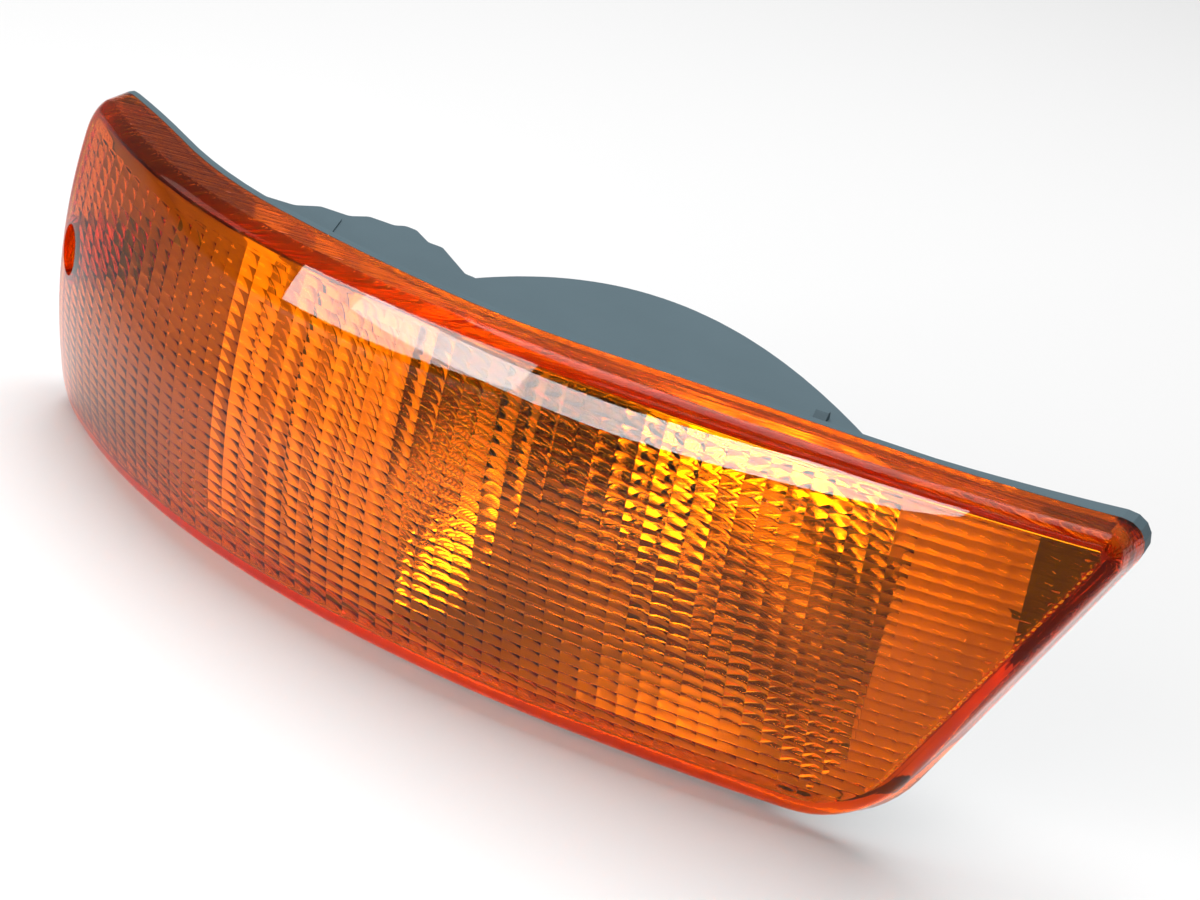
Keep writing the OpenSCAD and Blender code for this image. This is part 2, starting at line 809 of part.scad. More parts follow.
// Stamped terminals: a pad on the socket's floor and a blade in the shroud
module blade(side) {
    translate([side * blade_x - blade_t / 2, -blade_w / 2, socket_floor + 0.05])
        cube([blade_t, blade_w, blade_length]);
}

module feed_terminal() {
    color([0.82, 0.7, 0.4])
        placed() on_bowl() {
            blade(-1);
            translate([-blade_x, -blade_w / 2, socket_floor + 0.05])
                cube([blade_x + plunger_r - 0.8, blade_w, blade_t]);
        }
}

module earth_terminal() {
    color([0.82, 0.7, 0.4])
        placed() on_bowl() {
            blade(1);
            translate([blade_x, -blade_w / 2, socket_floor + 0.05])
                cube([bore_r + 0.6 - blade_x, blade_w, blade_t]);
            translate([bore_r + 0.1, -leaf_w / 2, cap_front + 5])
                cube([0.5, leaf_w, socket_floor - cap_front - 4.9]);
        }
}

lens();
housing();
vent_cap();
bulb_holder();
holder_seal();
bulb_glass();
bulb_cap();
bulb_pins();
bulb_insulator();
bulb_contact();
bulb_stem();
filament();
filament_supports();
contact_plunger();
contact_spring();
feed_terminal();
earth_terminal();
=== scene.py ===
import bpy
import bmesh
import math
import numpy as np
from mathutils import Matrix, Vector


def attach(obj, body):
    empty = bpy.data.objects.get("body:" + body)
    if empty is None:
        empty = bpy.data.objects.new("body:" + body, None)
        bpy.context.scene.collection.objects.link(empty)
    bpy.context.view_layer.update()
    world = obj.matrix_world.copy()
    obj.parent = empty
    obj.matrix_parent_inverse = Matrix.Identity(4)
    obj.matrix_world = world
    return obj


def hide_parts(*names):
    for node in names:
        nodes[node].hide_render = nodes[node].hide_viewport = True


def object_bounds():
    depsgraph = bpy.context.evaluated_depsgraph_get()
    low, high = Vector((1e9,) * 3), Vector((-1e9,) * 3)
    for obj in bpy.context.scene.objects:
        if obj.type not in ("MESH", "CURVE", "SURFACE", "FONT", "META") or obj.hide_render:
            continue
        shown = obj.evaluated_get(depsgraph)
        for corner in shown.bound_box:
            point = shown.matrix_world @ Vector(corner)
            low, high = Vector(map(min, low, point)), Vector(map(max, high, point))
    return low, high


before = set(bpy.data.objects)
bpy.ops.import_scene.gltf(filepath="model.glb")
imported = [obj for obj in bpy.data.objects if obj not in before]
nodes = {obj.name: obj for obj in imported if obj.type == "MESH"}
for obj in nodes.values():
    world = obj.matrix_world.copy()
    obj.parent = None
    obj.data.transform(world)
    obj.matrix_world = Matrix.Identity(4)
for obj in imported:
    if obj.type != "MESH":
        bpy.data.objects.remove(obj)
cad_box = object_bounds()
scene = bpy.context.scene

# Camera.
# A long lens in front of the inboard end and above it, rolled as the photograph is; the angles
# are round from the front, up from the floor, and the roll, in degrees.
CAMERA_PLACE = (0.31438, -0.54778, 0.24508)
CAMERA_ROUND, CAMERA_UP, CAMERA_ROLL = 19.5758, 23.3596, 11.0102
camera_data = bpy.data.cameras.new("camera")
camera_data.lens = 93.76
camera_data.sensor_width = 36.0
camera_data.clip_start = 0.01
camera_data.clip_end = 30.0
camera = bpy.data.objects.new("camera", camera_data)
scene.collection.objects.link(camera)
camera.matrix_world = (Matrix.Translation(CAMERA_PLACE)
                       @ Matrix.Rotation(math.radians(CAMERA_ROUND), 4, "Z")
                       @ Matrix.Rotation(math.radians(90 - CAMERA_UP), 4, "X")
                       @ Matrix.Rotation(math.radians(CAMERA_ROLL), 4, "Z"))
scene.camera = camera

# Lens.
# One moulding of clear amber acrylic: a smooth outer face, a rounded rim, side walls that
# run back to the welded joint, and pillow optics over the inner face.
MM = 0.001
# Sizes are in millimetres from where the screw's axis meets the face; the frame starts at its seat.
SCREW_TURN = math.radians(46.4)
SCREW_AXIS = np.array([math.sin(SCREW_TURN), math.cos(SCREW_TURN), 0.0])
WELL_DEPTH = 7.0
SEAT = WELL_DEPTH * SCREW_AXIS
TOP, BOTTOM, LEFT, RIGHT = 36.5, 37.6, 6.5, 246.4
END_LEAN = math.radians(27)
TOP_FALL, TOP_FALLS_FROM = 5.3, 180
BOTTOM_DIP, BOTTOM_DIPS_FROM = 3.5, 60
OUTER_CORNERS, TIP_CORNER, LOW_CORNER = 8.0, 5.0, 25.0
# Along the lamp, the angle at which the face and the joint behind it run back, in degrees.
FACE_HEADING = ((-10, 50), (25, 37), (60, 22.5), (100, 11.5), (150, 1), (250, -12.5))
REAR_HEADING = ((-10, 35), (25, 41.5), (60, 24), (100, 17), (140, 1.5), (200, 0), (245, -11.5))
# Up the lamp, the face's tilt and the radius of its bow at the outer and the inner end.
OUTER_TILT, INNER_TILT = math.radians(1.2), math.radians(-9.1)
OUTER_BOW, INNER_BOW = 73, 272
TOP_CURL = 1.1
LENS_DEPTH, MIDDLE = 13.7, 150
WALL, SIDE, RIM = 2.0, 3.4, 2.2
DRAFT, DRAFT_REACH = 1.6, 14
WELD_GAP = 0.2
CURVE_START, CURVE_END, CURVE_STEP = -14.0, 262.0, 0.5
SLOPE_ALONG, SLOPE_UP = 1.5, 0.5


def heading(table, x):
    known = np.array(table, float)
    return np.radians(np.interp(x, known[:, 0], known[:, 1]))


def plan_curve(table):
    """Follows a table of headings in short steps, seen from above."""
    xs = np.arange(CURVE_START, CURVE_END + CURVE_STEP, CURVE_STEP)
    steps = -CURVE_STEP * np.tan(heading(table, xs[:-1] + CURVE_STEP / 2))
    return xs, np.concatenate([[0.0], np.cumsum(steps)])


PLAN_X, FACE_CURVE = plan_curve(FACE_HEADING)
REAR_CURVE = plan_curve(REAR_HEADING)[1]


def face_plan(x):
    return np.interp(x, PLAN_X, FACE_CURVE) - np.interp(0, PLAN_X, FACE_CURVE)


def rear_y(x):
    """The joint between the side walls and the housing's flange."""
    rear_plan = np.interp(x, PLAN_X, REAR_CURVE) - np.interp(MIDDLE, PLAN_X, REAR_CURVE)
    return rear_plan + face_plan(MIDDLE) + LENS_DEPTH


def face_y(x, z):
    inward = np.clip(x / RIGHT, 0, 1)
    tilt = math.tan(OUTER_TILT) * (1 - inward) + math.tan(INNER_TILT) * inward
    bow = (1 - inward) / (2 * OUTER_BOW) + inward / (2 * INNER_BOW)
    return face_plan(x) + z * tilt + z * z * bow + TOP_CURL * (z / TOP) ** 3


def face_slopes(x, z):
    """How fast the face runs back along the lamp and up it."""
    along = (face_y(x + SLOPE_ALONG, z) - face_y(x - SLOPE_ALONG, z)) / (2 * SLOPE_ALONG)
    upward = (face_y(x, z + SLOPE_UP) - face_y(x, z - SLOPE_UP)) / (2 * SLOPE_UP)
    return along, upward


def skin_y(x, z, depth):
    """A surface that lies this deep behind the face, measured square to it in plan."""
    return face_y(x, z) + depth / np.cos(heading(FACE_HEADING, x))


def top_line(x):
    return TOP - TOP_FALL * np.maximum(0, (TOP_FALLS_FROM - x) / TOP_FALLS_FROM) ** 2


def bottom_line(x):
    return -BOTTOM - BOTTOM_DIP * np.maximum(0, (BOTTOM_DIPS_FROM - x) / BOTTOM_DIPS_FROM) ** 2


def end_x(z):
    """The slanted inboard end."""
    return RIGHT - (TOP - z) * math.tan(END_LEAN)


def arc(centre, radius, start, stop, steps):
    a = np.radians(np.linspace(start, stop, steps + 1))
    return np.stack([centre[0] + radius * np.cos(a), centre[1] + radius * np.sin(a)], -1)


def edge_lines(inset, corner_steps, run_steps):
    """The outline, moved in, as its top and its bottom line, both from the outboard end."""
    lean = math.degrees(END_LEAN)
    outer_x = OUTER_CORNERS - LEFT
    upper = (outer_x, float(top_line(outer_x)) - OUTER_CORNERS)
    lower = (outer_x, float(bottom_line(outer_x)) + OUTER_CORNERS)
    tip = (end_x(TOP - TIP_CORNER) - TIP_CORNER / math.cos(END_LEAN), TOP - TIP_CORNER)
    foot = (end_x(LOW_CORNER - BOTTOM) - LOW_CORNER / math.cos(END_LEAN), LOW_CORNER - BOTTOM)
    x_top = np.linspace(upper[0], tip[0], run_steps + 1)[1:-1]
    x_bottom = np.linspace(lower[0], foot[0], run_steps + 1)[1:-1]
    top = np.concatenate([arc(upper, OUTER_CORNERS - inset, 180, 90, corner_steps),
                          np.stack([x_top, top_line(x_top) - inset], -1),
                          arc(tip, TIP_CORNER - inset, 90, -lean, corner_steps)])
    bottom = np.concatenate([arc(lower, OUTER_CORNERS - inset, 180, 270, corner_steps),
                             np.stack([x_bottom, bottom_line(x_bottom) + inset], -1),
                             arc(foot, LOW_CORNER - inset, 270, 360 - lean, corner_steps)])
    return top, bottom


def eased(t):
    t = np.clip(t, 0, 1)
    return t * t * (3 - 2 * t)


def drawn_in(x, z, depth):
    """Draws the slanted end in, most at the face and not at all at the joint, for its draft."""
    near = eased(1 - (end_x(z) - x) * math.cos(END_LEAN) / DRAFT_REACH)
    return x - DRAFT * near * (1 - depth / LENS_DEPTH) / math.cos(END_LEAN)


CORNER_STEPS, RUN_STEPS, RISE_STEPS = 10, 110, 40


def face_grid(inset, depth):
    """Points over the face in columns from top to bottom, closer together near the edges."""
    top, bottom = edge_lines(inset, CORNER_STEPS, RUN_STEPS)
    even = np.arange(RISE_STEPS + 1) / RISE_STEPS
    crowded = (1 - np.cos(np.pi * np.arange(RISE_STEPS + 1) / RISE_STEPS)) / 2
    share = (crowded + even) / 2
    xz = top[:, None] + (bottom - top)[:, None] * share[None, :, None]
    x = drawn_in(xz[..., 0], xz[..., 1], depth)
    return np.stack([x, skin_y(x, xz[..., 1], depth), xz[..., 1]], -1)


def border(grid):
    """The points round the edge of such a grid, or their numbers."""
    return np.concatenate([grid[:, 0], grid[-1, 1:-1], grid[::-1, -1], grid[0, -2:0:-1]])


class Moulding:
    """The skin of a piece while it is laid out, with a kind for each face."""

    def __init__(self):
        self.points = []
        self.count = 0
        self.faces = []
        self.kinds = []

    def lay(self, points):
        """Adds points and gives their numbers, in the same arrangement."""
        points = np.asarray(points, float)
        numbers = self.count + np.arange(points[..., 0].size).reshape(points.shape[:-1])
        self.points.append(points.reshape(-1, 3))
        self.count += numbers.size
        return numbers

    def fill(self, faces, kind=0):
        self.faces.extend(faces)
        self.kinds.extend([kind] * len(faces))

    def cover(self, grid, kind=0):
        self.fill(np.stack([grid[:-1, :-1], grid[:-1, 1:], grid[1:, 1:], grid[1:, :-1]], -1)
                  .reshape(-1, 4).tolist(), kind)

    def wall(self, one, two, kind=0):
        """Faces between two closed rings."""
        self.fill(np.stack([one, two, np.roll(two, -1), np.roll(one, -1)], -1).tolist(), kind)

    def plug(self, low, high):
        """Closes a tube at both its ends."""
        self.fill([low[::-1].tolist(), high.tolist()])

    def mesh(self, name):
        mesh = bpy.data.meshes.new(name)
        mesh.from_pydata(((np.concatenate(self.points) - SEAT) * MM).tolist(), [], self.faces)
        mesh.update()
        return mesh


# The outer skin: the face, its rounded rim, and the side walls as far as the joint.
WELL, FACE, ROUND, WALLS, PILLOW, JOINT = range(6)
lens = Moulding()
face_points = lens.lay(face_grid(RIM, 0))
lens.cover(face_points, FACE)
ring = border(face_points)
for angle in np.radians((15, 30, 45, 60, 75, 90)):
    rounded = face_grid(RIM * (1 - math.sin(angle)), RIM * (1 - math.cos(angle)))
    next_ring = lens.lay(border(rounded))
    lens.wall(ring, next_ring, ROUND)
    ring = next_ring
joint = border(face_grid(0, LENS_DEPTH))
joint[:, 1] = rear_y(joint[:, 0]) - WELD_GAP
lens.wall(ring, lens.lay(joint), WALLS)

# The inner face follows a fixed grid of cells, cut off at the side walls.
CELL_W, CELL_H = 4.06, 2.4
STEP_W, STEP_H = CELL_W / 6, CELL_H / 4
BULGE_W, BULGE_H = 0.26, 0.21
FILLET = 0.8
FADE_FROM, FADE_OVER = 0.2, 0.9
PLAIN_STRIP, PLAIN_FROM, PLAIN_OVER = 2.4, 85, 50
SHALLOW_ALONG, SHALLOW = (25, 110), (0.5, 1.0)
ROWS, END_POINTS, SLIVER = 80, 60, 0.05
top_inside, bottom_inside = edge_lines(SIDE, corner_steps=24, run_steps=200)
for line in (top_inside, bottom_inside):
    line[:, 0] = drawn_in(line[:, 0], line[:, 1], 0)
foot_inside, tip_inside = bottom_inside[-1], top_inside[-1]
lower_inside = np.concatenate([bottom_inside, np.linspace(foot_inside, tip_inside, END_POINTS)])


def height_on(line, x):
    order = np.argsort(line[:, 0], kind="stable")
    return np.interp(x, line[order, 0], line[order, 1])


x_first, x_last = top_inside[0, 0], tip_inside[0]
columns = np.arange(int(x_first / STEP_W) - 1, int(x_last / STEP_W) + 2) * STEP_W
columns = columns[(columns > x_first + SLIVER) & (columns < x_last - SLIVER)]
columns = np.concatenate([[x_first], columns, [x_last]])
levels = np.arange(-ROWS, ROWS + 1) * STEP_H
highest = height_on(top_inside, columns)
highest[0] = top_inside[0, 1]
lowest = height_on(lower_inside, columns)
lowest[0] = bottom_inside[0, 1]
lowest[-1] = tip_inside[1]
lowest = np.minimum(lowest, highest)
cell_z = np.clip(levels[None, :], lowest[:, None], highest[:, None])
cell_x = np.repeat(columns[:, None], len(levels), 1)


def from_wall(x, z):
    """Distance in from the side walls' inner face."""
    up = top_line(x) - SIDE - z
    down = z - bottom_line(x) - SIDE
    out = x + LEFT - SIDE
    end = (end_x(z) - x) * math.cos(END_LEAN) - SIDE - DRAFT
    return np.minimum(np.minimum(up, down), np.minimum(out, end))


def pillow(x, z, across, upward):
    """Height of a pillow over the plain inner face, dying away at the fillet by the walls.

    across and upward run from -1 to 1 over the cell."""
    inward = np.clip(from_wall(x, z), 0, None)
    plain = PLAIN_STRIP * np.clip((PLAIN_FROM - x) / PLAIN_OVER, 0, 1)
    clear = np.minimum(inward, top_line(x) - SIDE - z - plain)
    strength = eased((clear - FADE_FROM) / FADE_OVER) * np.interp(x, SHALLOW_ALONG, SHALLOW)
    bulge = BULGE_W * (1 - across ** 2) + BULGE_H * (1 - upward ** 2)
    in_fillet = np.clip(FILLET - inward, 0, FILLET)
    return bulge * strength + FILLET - np.sqrt(FILLET ** 2 - in_fillet ** 2)


def place_in_cell(v, size):
    return 2 * ((v / size) % 1.0) - 1


pillows = pillow(cell_x, cell_z, place_in_cell(cell_x, CELL_W), place_in_cell(cell_z, CELL_H))
inner = lens.lay(np.stack([cell_x, skin_y(cell_x, cell_z, WALL) + pillows, cell_z], -1))
cell_faces = []
for i in range(len(columns) - 1):
    for j in range(len(levels) - 1):
        spots = {}
        for corner in ((i, j), (i + 1, j), (i + 1, j + 1), (i, j + 1)):
            spots.setdefault((round(cell_x[corner], 4), round(cell_z[corner], 4)), int(inner[corner]))
        if len(spots) > 2:
            cell_faces.append(list(spots.values()))
lens.fill(cell_faces, PILLOW)

# The walls' inner face and the flat joint close the moulding between its two skins.
SAME_POINT, TOUCH = 0.002 * MM, 0.1
skins = lens.mesh("lens_skins")
work = bmesh.new()
work.from_mesh(skins)
bpy.data.meshes.remove(skins)
kind_of = work.faces.layers.int.new("kind")
for face, kind in zip(work.faces, lens.kinds):
    face[kind_of] = kind
bmesh.ops.remove_doubles(work, verts=work.verts[:], dist=SAME_POINT)
bmesh.ops.delete(work, geom=[v for v in work.verts if not v.link_faces], context="VERTS")


def open_rings(shape):
    """The rings of points along which a shape is still open."""
    edges = [e for e in shape.edges if len(e.link_faces) == 1]
    meeting = {}
    for edge in edges:
        for v in edge.verts:
            meeting.setdefault(v, []).append(edge)
    rings, used = [], set()
    for edge in edges:
        if edge in used:
            continue
        ring, v, here = [], edge.verts[0], edge
        while here not in used:
            used.add(here)
            ring.append(v)
            v = here.other_vert(v)
            onward = [e for e in meeting[v] if e not in used]
            if not onward:
                break
            here = onward[0]
        rings.append(ring)
    return rings


def turning(ring):
    """Above nought where a ring runs one way round, and below it where it runs the other."""
    x = np.array([v.co.x for v in ring])
    z = np.array([v.co.z for v in ring])
    return float(np.sum(x * np.roll(z, -1) - np.roll(x, -1) * z))


def join_rings(shape, one, two, kind):
    """Triangles between two rings with different numbers of points."""
    at_one = np.array([v.co[:] for v in one])
    at_two = np.array([v.co[:] for v in two])
    start = int(np.argmin(((at_two - at_one[0]) ** 2).sum(1)))
    two = two[start:] + two[:start]
    at_two = np.roll(at_two, -start, 0)
    i = j = 0
    while i < len(one) or j < len(two):
        here, there = i % len(one), j % len(two)
        after_here, after_there = (i + 1) % len(one), (j + 1) % len(two)
        by_one = ((at_one[after_here] - at_two[there]) ** 2).sum()
        by_two = ((at_one[here] - at_two[after_there]) ** 2).sum()
        if j >= len(two) or (i < len(one) and by_one <= by_two):
            face = shape.faces.new((one[here], two[there], one[after_here]))
            i += 1
        else:
            face = shape.faces.new((one[here], two[there], two[after_there]))
            j += 1
        face[kind_of] = kind


rings = open_rings(work)
left_end = (TOUCH - LEFT - SEAT[0]) * MM
outer_rear = [ring for ring in rings if min(v.co.x for v in ring) < left_end][0]
inner_front = [ring for ring in rings if ring is not outer_rear][0]
if turning(outer_rear) * turning(inner_front) < 0:
    inner_front.reverse()
inner_rear = []
for v in inner_front:
    y = float(rear_y(v.co.x / MM + SEAT[0])) - WELD_GAP
    inner_rear.append(work.verts.new((v.co.x, (y - SEAT[1]) * MM, v.co.z)))
for k in range(len(inner_rear)):
    after = (k + 1) % len(inner_rear)
    face = work.faces.new((inner_front[k], inner_front[after], inner_rear[after], inner_rear[k]))
    face[kind_of] = WALLS
join_rings(work, outer_rear, inner_rear, JOINT)
bmesh.ops.recalc_face_normals(work, faces=work.faces[:])
lens_mesh = bpy.data.meshes.new("amber_lens")
work.to_mesh(lens_mesh)
work.free()
amber_lens = bpy.data.objects.new("amber_lens", lens_mesh)
scene.collection.objects.link(amber_lens)


def moulded(moulding, name):
    """Turns a laid-out skin into an object whose faces look outward."""
    mesh = moulding.mesh(name)
    shape = bmesh.new()
    shape.from_mesh(mesh)
    bmesh.ops.recalc_face_normals(shape, faces=shape.faces[:])
    shape.to_mesh(mesh)
    shape.free()
    piece = bpy.data.objects.new(name, mesh)
    scene.collection.objects.link(piece)
    return piece


def combine(piece, tool, operation):
    """Joins, cuts or trims a piece with a tool, which is used up."""
    step = piece.modifiers.new("step", "BOOLEAN")
    step.operation = operation
    step.solver = "EXACT"
    step.object = tool
    depsgraph = bpy.context.evaluated_depsgraph_get()
    result = bpy.data.meshes.new_from_object(piece.evaluated_get(depsgraph))
    piece.modifiers.clear()
    before = piece.data
    piece.data = result
    bpy.data.meshes.remove(before)
    bpy.data.objects.remove(tool)


# The screw well: a tube behind the skin, bored from the front down to the seat.
WELL_BORE, WELL_TUBE, WELL_HOLE = 5.5, 7.3, 2.6
TUBE_START, TUBE_END = 1.2, 10.0
TOOL_AHEAD, TOOL_BEHIND, TOOL_OVERLAP, TOOL_SIDES = 12, 8, 2, 96


def rod(radius, near, far, name):
    """A round tool along the screw's axis."""
    tool = Moulding()
    a = np.linspace(0, 2 * np.pi, TOOL_SIDES, endpoint=False)[:, None]
    side = np.array([SCREW_AXIS[1], -SCREW_AXIS[0], 0.0])
    circle = radius * (np.cos(a) * side + np.sin(a) * np.array([0, 0, 1.0]))
    low = tool.lay(circle + near * SCREW_AXIS)
    high = tool.lay(circle + far * SCREW_AXIS)
    tool.wall(low, high)
    tool.plug(low, high)
    return moulded(tool, name)


combine(amber_lens, rod(WELL_TUBE, TUBE_START, TUBE_END, "well_tube"), "UNION")
combine(amber_lens, rod(WELL_BORE, -TOOL_AHEAD, WELL_DEPTH, "well_bore"), "DIFFERENCE")
screw_hole = rod(WELL_HOLE, WELL_DEPTH - TOOL_OVERLAP, TUBE_END + TOOL_BEHIND, "screw_hole")
combine(amber_lens, screw_hole, "DIFFERENCE")
lens_mesh = amber_lens.data
for v in lens_mesh.vertices:
    v.co.y = max(v.co.y, cad_box[0][1])


SQUARE_ENOUGH = 0.95


def read(items, name, width=1):
    """One value, or a row of them, from each item of a mesh."""
    values = np.empty(len(items) * width)
    items.foreach_get(name, values)
    return values.reshape(-1, width) if width > 1 else values


def unit(vectors):
    return vectors / np.maximum(np.linalg.norm(vectors, axis=1, keepdims=True), 1e-9)


def pillow_normals(p, cell):
    """The true normals of the pillows at points p, for the cells that hold the points in cell."""
    x, z = p[:, 0], p[:, 2]
    middle_x = (np.floor(cell[:, 0] / CELL_W) + 0.5) * CELL_W
    middle_z = (np.floor(cell[:, 2] / CELL_H) + 0.5) * CELL_H

    def height(x, z):
        return pillow(x, z, (x - middle_x) / (CELL_W / 2), (z - middle_z) / (CELL_H / 2))

    small = 0.02
    along, upward = face_slopes(x, z)
    along = along + (height(x + small, z) - height(x - small, z)) / (2 * small)
    upward = upward + (height(x, z + small) - height(x, z - small)) / (2 * small)
    return unit(np.stack([-along, np.ones_like(along), -upward], -1))


def face_normals(p):
    along, upward = face_slopes(p[:, 0], p[:, 2])
    return unit(np.stack([along, -np.ones_like(along), upward], -1))


def polish(mesh):
    """Gives the faces the smooth form's own normals, so that each pillow is a true lens."""
    mesh.shade_smooth()
    vertex = read(mesh.loops, "vertex_index").astype(int)
    face = np.repeat(np.arange(len(mesh.polygons)), read(mesh.polygons, "loop_total").astype(int))
    kind = read(mesh.attributes["kind"].data, "value").astype(int)[face]
    normals = read(mesh.polygons, "normal", 3)[face]
    p = read(mesh.vertices, "co", 3)[vertex] / MM + SEAT
    cell = read(mesh.polygons, "center", 3)[face] / MM + SEAT
    radial = unit(p - (p @ SCREW_AXIS)[:, None] * SCREW_AXIS)
    outward = np.sum(radial * normals, axis=1)
    in_well = (kind == WELL) & (np.abs(outward) > SQUARE_ENOUGH)
    normals[in_well] = (radial * np.sign(outward)[:, None])[in_well]
    on_round = kind == ROUND
    normals[on_round] = read(mesh.vertices, "normal", 3)[vertex][on_round]
    on_face = kind == FACE
    normals[on_face] = face_normals(p[on_face])
    on_pillow = kind == PILLOW
    normals[on_pillow] = pillow_normals(p[on_pillow], cell[on_pillow])
    mesh.normals_split_custom_set(normals.tolist())


polish(lens_mesh)


def new_finish(name):
    finish = bpy.data.materials.new(name)
    finish.use_nodes = True
    return finish


def shader_of(finish):
    return finish.node_tree.nodes["Principled BSDF"]


def set_sockets(finish, node, values):
    """Gives each socket its number or colour, or the output that drives it."""
    for name, value in values.items():
        if isinstance(value, bpy.types.NodeSocket):
            finish.node_tree.links.new(value, node.inputs[name])
        else:
            node.inputs[name].default_value = value


def add_node(finish, kind, values=(), **settings):
    node = finish.node_tree.nodes.new("ShaderNode" + kind)
    for name, value in settings.items():
        setattr(node, name, value)
    set_sockets(finish, node, dict(values))
    return node


def noise_of(finish, scale, detail, stretch=None):
    """Noise over the piece, drawn out along an axis where stretch makes one number smaller."""
    place = add_node(finish, "TexCoord").outputs["Object"]
    if stretch:
        place = add_node(finish, "Mapping", {"Vector": place, "Scale": stretch}).outputs["Vector"]
    return add_node(finish, "TexNoise", {"Vector": place, "Scale": scale, "Detail": detail}).outputs["Fac"]


def relief(finish, height, strength, depth):
    bump = add_node(finish, "Bump", {"Height": height, "Strength": strength, "Distance": depth})
    set_sockets(finish, shader_of(finish), {"Normal": bump.outputs["Normal"]})


# The acrylic is tinted right through: the longer the light's way in it, the redder it comes out.
amber = new_finish("amber_acrylic")
set_sockets(amber, shader_of(amber), {"Base Color": (1.0, 0.53, 0.03, 1), "IOR": 1.49,
                                      "Transmission Weight": 1.0, "Specular Tint": (0.35, 0.35, 0.35, 1)})
tint = add_node(amber, "VolumeAbsorption", {"Color": (0.995, 0.85, 0.0, 1), "Density": 700})
set_sockets(amber, amber.node_tree.nodes["Material Output"], {"Volume": tint.outputs["Volume"]})
# The side walls carry fine streaks drawn along the lamp; the face stays clear.
looking = add_node(amber, "TexCoord").outputs["Normal"]
forward = add_node(amber, "SeparateXYZ", {"Vector": looking}).outputs["Y"]
flatness = add_node(amber, "Math", {0: forward}, operation="ABSOLUTE").outputs["Value"]
on_wall = add_node(amber, "MapRange", {"Value": flatness, "From Min": 0.25, "From Max": 0.1})
drawn = noise_of(amber, scale=1100, detail=2.0, stretch=(0.05, 1, 1))
streaks = add_node(amber, "Math", {0: drawn, 1: on_wall.outputs["Result"]}, operation="MULTIPLY")
streaks = streaks.outputs["Value"]
haze = add_node(amber, "MapRange", {"Value": streaks, "To Min": 0.0, "To Max": 0.4})
set_sockets(amber, shader_of(amber), {"Roughness": haze.outputs["Result"]})
relief(amber, streaks, strength=0.7, depth=0.0003)
lens_mesh.materials.append(amber)
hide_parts("lens")
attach(amber_lens, "lamp")

# Weld seam.
# The thin ring of melted acrylic where the lens's side walls are hot-plate welded to the
# housing's flange; it is milky and scatters light back into the walls. Its tones are darker than milky
# acrylic: partly painted shade.
SEAM_EDGE, SEAM_FRONT, SEAM_BACK = 0.15, 0.17, 0.03
seam = Moulding()
seam_rings = []
for inset, gap in ((SEAM_EDGE, SEAM_FRONT), (SIDE, SEAM_FRONT), (SIDE, SEAM_BACK), (SEAM_EDGE, SEAM_BACK)):
    ring = border(face_grid(inset, LENS_DEPTH))
    ring[:, 1] = rear_y(ring[:, 0]) - gap
    seam_rings.append(seam.lay(ring))
for one, two in zip(seam_rings, seam_rings[1:] + seam_rings[:1]):
    seam.wall(one, two)
weld_seam = moulded(seam, "weld_seam")


def two_toned(finish, clouds, one, two):
    """Lets the colour drift between two tones."""
    tones = add_node(finish, "Mix", {"Factor": clouds, "A": (*one, 1), "B": (*two, 1)}, data_type="RGBA")
    set_sockets(finish, shader_of(finish), {"Base Color": tones.outputs["Result"]})


seam_finish_painted_shade = new_finish("milky_acrylic_painted_shade")
# Partly painted shade: the seam's two tones are darker and browner than milky acrylic, to darken the band
# seen along the rim.
two_toned(seam_finish_painted_shade, noise_of(seam_finish_painted_shade, scale=300, detail=2.0), (0.6, 0.42, 0.16), (0.45, 0.28, 0.1))
set_sockets(seam_finish_painted_shade, shader_of(seam_finish_painted_shade), {"Roughness": 0.6})
weld_seam.data.materials.append(seam_finish_painted_shade)
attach(weld_seam, "lamp")

# Housing.
# One injection moulding of blue-grey polypropylene with a fine spark-eroded grain, welded to
# the lens at its flange and screwed to the body through the well at the outboard end.
plastic = new_finish("housing_plastic")
drift = noise_of(plastic, scale=60, detail=6.0)
two_toned(plastic, drift, (0.066, 0.112, 0.135), (0.086, 0.138, 0.165))
relief(plastic, noise_of(plastic, scale=2500, detail=2.0), strength=0.35, depth=0.0001)
set_sockets(plastic, shader_of(plastic), {"Roughness": 0.6})


def dress(name, finish):
    """Gives a piece that comes from the CAD its finish."""
    mesh = nodes[name].data
    mesh.materials.clear()
    mesh.materials.append(finish)


dress("housing", plastic)

# Reflector coating.
# Vacuum metal on the housing's inner face: the bowl, its level top and bottom, the fluted
# chamber and the land round them, masked off near the inboard end.
BOWL_X, BOWL_Y, BOWL_TURN, FOCUS = 121.5, 13.1, math.radians(15), 14.15
BOWL_REACH, BOWL_HOLE = 66, 16.5
BOWL_RINGS, BOWL_SIDES, BOWL_INSET = 60, 144, 3
SHELL = 2.32
BOWL_TOP, BOWL_BOTTOM = TOP - BOWL_INSET - SHELL, -(BOTTOM - BOWL_INSET) + SHELL
FLUTES = ((48, -22.5), (52.5, -19.3), (60.5, -18.9), (64.4, -15.2), (71, -15.3), (73.8, -12.3), (79.7, -12.6),
          (81.3, -11), (84, -11.4), (88.7, -15.5), (92, -15.8), (101.5, -25), (104.5, -25.4))
FLUTE_STEP, PLAN_STEP, PLAN_FROM, PLAN_TO = 0.1, 0.4, 50.4, 102.2
NECK_FRONT, NECK_BACK, NECK_SIDES = -30.0, 12.0, 64
LAND_INSET, LAND_GAP, BARE_FROM = 4.1, 0.1, 226.5
AHEAD, BEHIND, ASIDE = -70.0, 60, 120
ON_THE_BOWL, SHARP_EDGE = 0.05, math.radians(24)


def from_bowl(across, down, back):
    """From the bowl's axes to the lens's."""
    c, s = math.cos(BOWL_TURN), math.sin(BOWL_TURN)
    return np.stack([BOWL_X + c * across - s * back, BOWL_Y + s * across + c * back, -down], -1)


